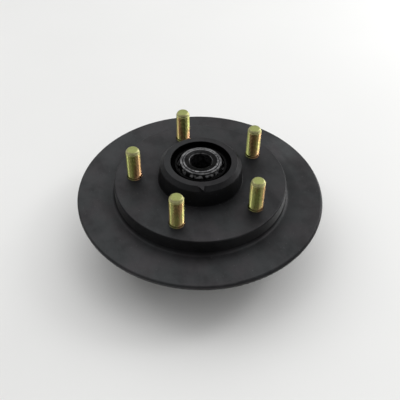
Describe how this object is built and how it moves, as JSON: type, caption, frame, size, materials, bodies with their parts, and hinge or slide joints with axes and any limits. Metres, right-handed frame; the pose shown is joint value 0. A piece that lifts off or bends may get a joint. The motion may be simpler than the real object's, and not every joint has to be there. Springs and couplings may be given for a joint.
{
  "type": "wheel hub assembly",
  "caption": "Cast wheel hub with a broad round flange, raised stud face and central boss, turning on two opposed tapered roller bearings behind a grease seal.",
  "frame": {"origin": "centre of the barrel's inboard end face, on the hub axis", "axes": "+Z along the hub axis to the wheel side; +Y through the first wheel stud"},
  "size_m": [0.215, 0.215, 0.0912],
  "materials": {
    "casting": "satin black paint over a cast surface",
    "stud_zinc": "yellow passivated zinc plate",
    "ring_steel": "ground bearing steel under an oil film",
    "roller_steel": "ground bearing steel under an oil film",
    "cage_steel": "pressed steel sheet, greased",
    "seal_steel": "pressed steel sheet",
    "seal_rubber": "moulded nitrile rubber",
    "spring_steel": "fine coiled wire"
  },
  "bodies": {
    "hub_body": {"hub": "casting", "seal_case": "seal_steel", "seal_lip": "seal_rubber", "seal_garter_spring": "spring_steel", "wheel_stud_1": "stud_zinc", "wheel_stud_2": "stud_zinc", "wheel_stud_3": "stud_zinc", "wheel_stud_4": "stud_zinc", "wheel_stud_5": "stud_zinc", "outer_bearing_cup": "ring_steel", "inner_bearing_cup": "ring_steel"},
    "outer_cone": {"outer_bearing_cone": "ring_steel"},
    "outer_cage": {"outer_bearing_cage": "cage_steel"},
    "outer_roller_01": {"outer_roller_01": "roller_steel"},
    "outer_roller_02": {"outer_roller_02": "roller_steel"},
    "outer_roller_03": {"outer_roller_03": "roller_steel"},
    "outer_roller_04": {"outer_roller_04": "roller_steel"},
    "outer_roller_05": {"outer_roller_05": "roller_steel"},
    "outer_roller_06": {"outer_roller_06": "roller_steel"},
    "outer_roller_07": {"outer_roller_07": "roller_steel"},
    "outer_roller_08": {"outer_roller_08": "roller_steel"},
    "outer_roller_09": {"outer_roller_09": "roller_steel"},
    "outer_roller_10": {"outer_roller_10": "roller_steel"},
    "outer_roller_11": {"outer_roller_11": "roller_steel"},
    "outer_roller_12": {"outer_roller_12": "roller_steel"},
    "outer_roller_13": {"outer_roller_13": "roller_steel"},
    "outer_roller_14": {"outer_roller_14": "roller_steel"},
    "outer_roller_15": {"outer_roller_15": "roller_steel"},
    "inner_cone": {"inner_bearing_cone": "ring_steel"},
    "inner_cage": {"inner_bearing_cage": "cage_steel"},
    "inner_roller_01": {"inner_roller_01": "roller_steel"},
    "inner_roller_02": {"inner_roller_02": "roller_steel"},
    "inner_roller_03": {"inner_roller_03": "roller_steel"},
    "inner_roller_04": {"inner_roller_04": "roller_steel"},
    "inner_roller_05": {"inner_roller_05": "roller_steel"},
    "inner_roller_06": {"inner_roller_06": "roller_steel"},
    "inner_roller_07": {"inner_roller_07": "roller_steel"},
    "inner_roller_08": {"inner_roller_08": "roller_steel"},
    "inner_roller_09": {"inner_roller_09": "roller_steel"},
    "inner_roller_10": {"inner_roller_10": "roller_steel"},
    "inner_roller_11": {"inner_roller_11": "roller_steel"},
    "inner_roller_12": {"inner_roller_12": "roller_steel"},
    "inner_roller_13": {"inner_roller_13": "roller_steel"},
    "inner_roller_14": {"inner_roller_14": "roller_steel"},
    "inner_roller_15": {"inner_roller_15": "roller_steel"},
    "inner_roller_16": {"inner_roller_16": "roller_steel"},
    "inner_roller_17": {"inner_roller_17": "roller_steel"}
  },
  "joints": [
    {"name": "outer_cone_spin", "type": "hinge", "parent": "hub_body", "child": "outer_cone", "pos_m": [0, 0, 0.07365], "axis": [0, 0, 1], "continuous": true},
    {"name": "outer_cage_orbit", "type": "hinge", "parent": "hub_body", "child": "outer_cage", "pos_m": [0, 0, 0.07365], "axis": [0, 0, 1], "continuous": true},
    {"name": "outer_roller_01_spin", "type": "hinge", "parent": "outer_cage", "child": "outer_roller_01", "pos_m": [0, 0.01607, 0.07246], "axis": [0, 0.1771, 0.9842], "continuous": true},
    {"name": "outer_roller_02_spin", "type": "hinge", "parent": "outer_cage", "child": "outer_roller_02", "pos_m": [-0.00654, 0.01468, 0.07246], "axis": [-0.072, 0.1618, 0.9842], "continuous": true},
    {"name": "outer_roller_03_spin", "type": "hinge", "parent": "outer_cage", "child": "outer_roller_03", "pos_m": [-0.01194, 0.01075, 0.07246], "axis": [-0.1316, 0.1185, 0.9842], "continuous": true},
    {"name": "outer_roller_04_spin", "type": "hinge", "parent": "outer_cage", "child": "outer_roller_04", "pos_m": [-0.01529, 0.00497, 0.07246], "axis": [-0.1684, 0.0547, 0.9842], "continuous": true},
    {"name": "outer_roller_05_spin", "type": "hinge", "parent": "outer_cage", "child": "outer_roller_05", "pos_m": [-0.01598, -0.00168, 0.07246], "axis": [-0.1761, -0.0185, 0.9842], "continuous": true},
    {"name": "outer_roller_06_spin", "type": "hinge", "parent": "outer_cage", "child": "outer_roller_06", "pos_m": [-0.01392, -0.00804, 0.07246], "axis": [-0.1534, -0.0885, 0.9842], "continuous": true},
    {"name": "outer_roller_07_spin", "type": "hinge", "parent": "outer_cage", "child": "outer_roller_07", "pos_m": [-0.00945, -0.013, 0.07246], "axis": [-0.1041, -0.1433, 0.9842], "continuous": true},
    {"name": "outer_roller_08_spin", "type": "hinge", "parent": "outer_cage", "child": "outer_roller_08", "pos_m": [-0.00334, -0.01572, 0.07246], "axis": [-0.0368, -0.1732, 0.9842], "continuous": true},
    {"name": "outer_roller_09_spin", "type": "hinge", "parent": "outer_cage", "child": "outer_roller_09", "pos_m": [0.00334, -0.01572, 0.07246], "axis": [0.0368, -0.1732, 0.9842], "continuous": true},
    {"name": "outer_roller_10_spin", "type": "hinge", "parent": "outer_cage", "child": "outer_roller_10", "pos_m": [0.00945, -0.013, 0.07246], "axis": [0.1041, -0.1433, 0.9842], "continuous": true},
    {"name": "outer_roller_11_spin", "type": "hinge", "parent": "outer_cage", "child": "outer_roller_11", "pos_m": [0.01392, -0.00804, 0.07246], "axis": [0.1534, -0.0885, 0.9842], "continuous": true},
    {"name": "outer_roller_12_spin", "type": "hinge", "parent": "outer_cage", "child": "outer_roller_12", "pos_m": [0.01598, -0.00168, 0.07246], "axis": [0.1761, -0.0185, 0.9842], "continuous": true},
    {"name": "outer_roller_13_spin", "type": "hinge", "parent": "outer_cage", "child": "outer_roller_13", "pos_m": [0.01529, 0.00497, 0.07246], "axis": [0.1684, 0.0547, 0.9842], "continuous": true},
    {"name": "outer_roller_14_spin", "type": "hinge", "parent": "outer_cage", "child": "outer_roller_14", "pos_m": [0.01194, 0.01075, 0.07246], "axis": [0.1316, 0.1185, 0.9842], "continuous": true},
    {"name": "outer_roller_15_spin", "type": "hinge", "parent": "outer_cage", "child": "outer_roller_15", "pos_m": [0.00654, 0.01468, 0.07246], "axis": [0.072, 0.1618, 0.9842], "continuous": true},
    {"name": "inner_cone_spin", "type": "hinge", "parent": "hub_body", "child": "inner_cone", "pos_m": [0, 0, 0.01631], "axis": [0, 0, -1], "continuous": true},
    {"name": "inner_cage_orbit", "type": "hinge", "parent": "hub_body", "child": "inner_cage", "pos_m": [0, 0, 0.01631], "axis": [0, 0, -1], "continuous": true},
    {"name": "inner_roller_01_spin", "type": "hinge", "parent": "inner_cage", "child": "inner_roller_01", "pos_m": [0, -0.01892, 0.01753], "axis": [0, -0.1994, -0.9799], "continuous": true},
    {"name": "inner_roller_02_spin", "type": "hinge", "parent": "inner_cage", "child": "inner_roller_02", "pos_m": [-0.00684, -0.01764, 0.01753], "axis": [-0.072, -0.1859, -0.9799], "continuous": true},
    {"name": "inner_roller_03_spin", "type": "hinge", "parent": "inner_cage", "child": "inner_roller_03", "pos_m": [-0.01275, -0.01398, 0.01753], "axis": [-0.1343, -0.1473, -0.9799], "continuous": true},
    {"name": "inner_roller_04_spin", "type": "hinge", "parent": "inner_cage", "child": "inner_roller_04", "pos_m": [-0.01694, -0.00843, 0.01753], "axis": [-0.1785, -0.0889, -0.9799], "continuous": true},
    {"name": "inner_roller_05_spin", "type": "hinge", "parent": "inner_cage", "child": "inner_roller_05", "pos_m": [-0.01884, -0.00175, 0.01753], "axis": [-0.1985, -0.0184, -0.9799], "continuous": true},
    {"name": "inner_roller_06_spin", "type": "hinge", "parent": "inner_cage", "child": "inner_roller_06", "pos_m": [-0.0182, 0.00518, 0.01753], "axis": [-0.1918, 0.0546, -0.9799], "continuous": true},
    {"name": "inner_roller_07_spin", "type": "hinge", "parent": "inner_cage", "child": "inner_roller_07", "pos_m": [-0.0151, 0.0114, 0.01753], "axis": [-0.1591, 0.1201, -0.9799], "continuous": true},
    {"name": "inner_roller_08_spin", "type": "hinge", "parent": "inner_cage", "child": "inner_roller_08", "pos_m": [-0.00996, 0.01609, 0.01753], "axis": [-0.105, 0.1695, -0.9799], "continuous": true},
    {"name": "inner_roller_09_spin", "type": "hinge", "parent": "inner_cage", "child": "inner_roller_09", "pos_m": [-0.00348, 0.0186, 0.01753], "axis": [-0.0366, 0.196, -0.9799], "continuous": true},
    {"name": "inner_roller_10_spin", "type": "hinge", "parent": "inner_cage", "child": "inner_roller_10", "pos_m": [0.00348, 0.0186, 0.01753], "axis": [0.0366, 0.196, -0.9799], "continuous": true},
    {"name": "inner_roller_11_spin", "type": "hinge", "parent": "inner_cage", "child": "inner_roller_11", "pos_m": [0.00996, 0.01609, 0.01753], "axis": [0.105, 0.1695, -0.9799], "continuous": true},
    {"name": "inner_roller_12_spin", "type": "hinge", "parent": "inner_cage", "child": "inner_roller_12", "pos_m": [0.0151, 0.0114, 0.01753], "axis": [0.1591, 0.1201, -0.9799], "continuous": true},
    {"name": "inner_roller_13_spin", "type": "hinge", "parent": "inner_cage", "child": "inner_roller_13", "pos_m": [0.0182, 0.00518, 0.01753], "axis": [0.1918, 0.0546, -0.9799], "continuous": true},
    {"name": "inner_roller_14_spin", "type": "hinge", "parent": "inner_cage", "child": "inner_roller_14", "pos_m": [0.01884, -0.00175, 0.01753], "axis": [0.1985, -0.0184, -0.9799], "continuous": true},
    {"name": "inner_roller_15_spin", "type": "hinge", "parent": "inner_cage", "child": "inner_roller_15", "pos_m": [0.01694, -0.00843, 0.01753], "axis": [0.1785, -0.0889, -0.9799], "continuous": true},
    {"name": "inner_roller_16_spin", "type": "hinge", "parent": "inner_cage", "child": "inner_roller_16", "pos_m": [0.01275, -0.01398, 0.01753], "axis": [0.1343, -0.1473, -0.9799], "continuous": true},
    {"name": "inner_roller_17_spin", "type": "hinge", "parent": "inner_cage", "child": "inner_roller_17", "pos_m": [0.00684, -0.01764, 0.01753], "axis": [0.072, -0.1859, -0.9799], "continuous": true}
  ],
  "couplings": [
    {"joint": "outer_cage_orbit", "follows": "outer_cone_spin", "ratio": 0.41121},
    {"joint": "outer_roller_01_spin", "follows": "outer_cone_spin", "ratio": -2.6837},
    {"joint": "outer_roller_02_spin", "follows": "outer_cone_spin", "ratio": -2.6837},
    {"joint": "outer_roller_03_spin", "follows": "outer_cone_spin", "ratio": -2.6837},
    {"joint": "outer_roller_04_spin", "follows": "outer_cone_spin", "ratio": -2.6837},
    {"joint": "outer_roller_05_spin", "follows": "outer_cone_spin", "ratio": -2.6837},
    {"joint": "outer_roller_06_spin", "follows": "outer_cone_spin", "ratio": -2.6837},
    {"joint": "outer_roller_07_spin", "follows": "outer_cone_spin", "ratio": -2.6837},
    {"joint": "outer_roller_08_spin", "follows": "outer_cone_spin", "ratio": -2.6837},
    {"joint": "outer_roller_09_spin", "follows": "outer_cone_spin", "ratio": -2.6837},
    {"joint": "outer_roller_10_spin", "follows": "outer_cone_spin", "ratio": -2.6837},
    {"joint": "outer_roller_11_spin", "follows": "outer_cone_spin", "ratio": -2.6837},
    {"joint": "outer_roller_12_spin", "follows": "outer_cone_spin", "ratio": -2.6837},
    {"joint": "outer_roller_13_spin", "follows": "outer_cone_spin", "ratio": -2.6837},
    {"joint": "outer_roller_14_spin", "follows": "outer_cone_spin", "ratio": -2.6837},
    {"joint": "outer_roller_15_spin", "follows": "outer_cone_spin", "ratio": -2.6837},
    {"joint": "inner_cage_orbit", "follows": "inner_cone_spin", "ratio": 0.4275},
    {"joint": "inner_roller_01_spin", "follows": "inner_cone_spin", "ratio": -3.308},
    {"joint": "inner_roller_02_spin", "follows": "inner_cone_spin", "ratio": -3.308},
    {"joint": "inner_roller_03_spin", "follows": "inner_cone_spin", "ratio": -3.308},
    {"joint": "inner_roller_04_spin", "follows": "inner_cone_spin", "ratio": -3.308},
    {"joint": "inner_roller_05_spin", "follows": "inner_cone_spin", "ratio": -3.308},
    {"joint": "inner_roller_06_spin", "follows": "inner_cone_spin", "ratio": -3.308},
    {"joint": "inner_roller_07_spin", "follows": "inner_cone_spin", "ratio": -3.308},
    {"joint": "inner_roller_08_spin", "follows": "inner_cone_spin", "ratio": -3.308},
    {"joint": "inner_roller_09_spin", "follows": "inner_cone_spin", "ratio": -3.308},
    {"joint": "inner_roller_10_spin", "follows": "inner_cone_spin", "ratio": -3.308},
    {"joint": "inner_roller_11_spin", "follows": "inner_cone_spin", "ratio": -3.308},
    {"joint": "inner_roller_12_spin", "follows": "inner_cone_spin", "ratio": -3.308},
    {"joint": "inner_roller_13_spin", "follows": "inner_cone_spin", "ratio": -3.308},
    {"joint": "inner_roller_14_spin", "follows": "inner_cone_spin", "ratio": -3.308},
    {"joint": "inner_roller_15_spin", "follows": "inner_cone_spin", "ratio": -3.308},
    {"joint": "inner_roller_16_spin", "follows": "inner_cone_spin", "ratio": -3.308},
    {"joint": "inner_roller_17_spin", "follows": "inner_cone_spin", "ratio": -3.308}
  ]
}
